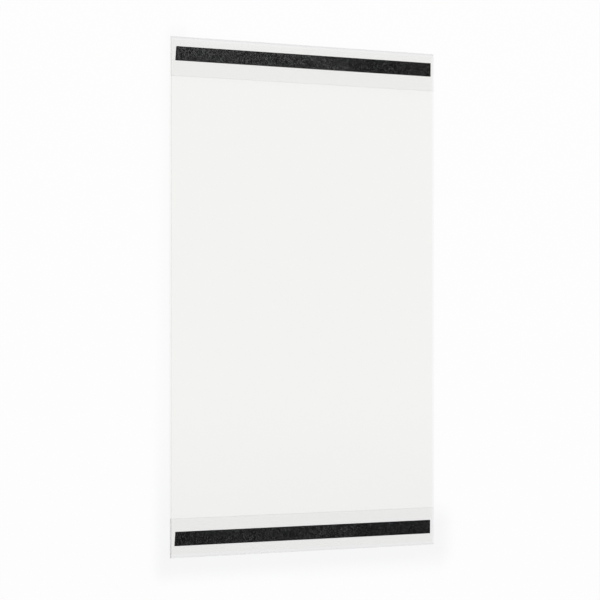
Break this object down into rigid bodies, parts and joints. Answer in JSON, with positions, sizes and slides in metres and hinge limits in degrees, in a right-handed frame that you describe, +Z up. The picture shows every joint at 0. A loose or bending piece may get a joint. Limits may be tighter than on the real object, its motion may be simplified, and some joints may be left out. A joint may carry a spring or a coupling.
{
  "type": "magnetic display frame",
  "caption": "Clear side-loading display pocket for an A4 sheet, with black magnetic strips behind its folded top and bottom hems.",
  "frame": {"origin": "middle of the back sheet's rear face, which lies on the wall", "axes": "+Z up the wall, +Y into the wall, so the front faces -Y; X runs along the strips, +X to the right as seen from the front"},
  "size_m": [0.217, 0.0022, 0.33],
  "materials": {
    "front_film": "clear rigid film, glossy, colourless",
    "back_film": "clear rigid film, glossy, colourless",
    "magnetic_rubber": "black magnetic rubber, matt, with fine pale specks",
    "clear_adhesive": "clear adhesive layer with small trapped bubbles"
  },
  "bodies": {
    "root": {"front_sheet": "front_film", "back_sheet": "back_film", "top_magnetic_strip": "magnetic_rubber", "bottom_magnetic_strip": "magnetic_rubber", "top_front_adhesive": "clear_adhesive", "bottom_front_adhesive": "clear_adhesive", "top_rear_adhesive": "clear_adhesive", "bottom_rear_adhesive": "clear_adhesive"}
  },
  "joints": []
}
